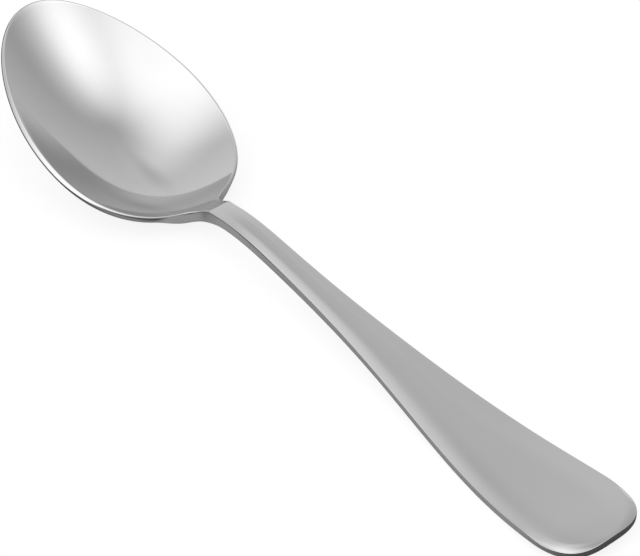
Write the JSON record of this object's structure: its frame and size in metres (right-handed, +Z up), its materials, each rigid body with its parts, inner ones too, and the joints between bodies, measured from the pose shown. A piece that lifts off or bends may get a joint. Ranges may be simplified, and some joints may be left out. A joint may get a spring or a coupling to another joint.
{
  "type": "soup spoon",
  "caption": "Plain polished stainless soup spoon: egg-shaped bowl tilted up at its tip, slim arched neck, and a handle that widens to a broad rounded end. Used to lift and sip liquid food.",
  "frame": {"origin": "on the table, under the middle of the spoon's overall box", "axes": "+X along the handle from bowl to handle end, +Y across the spoon, +Z up out of the hollow side of the bowl"},
  "size_m": [0.2, 0.046, 0.0261],
  "materials": {
    "steel": "polished stainless, soft mirror"
  },
  "bodies": {
    "root": {"bowl": "steel", "neck": "steel", "stem": "steel", "grip": "steel"}
  },
  "joints": []
}
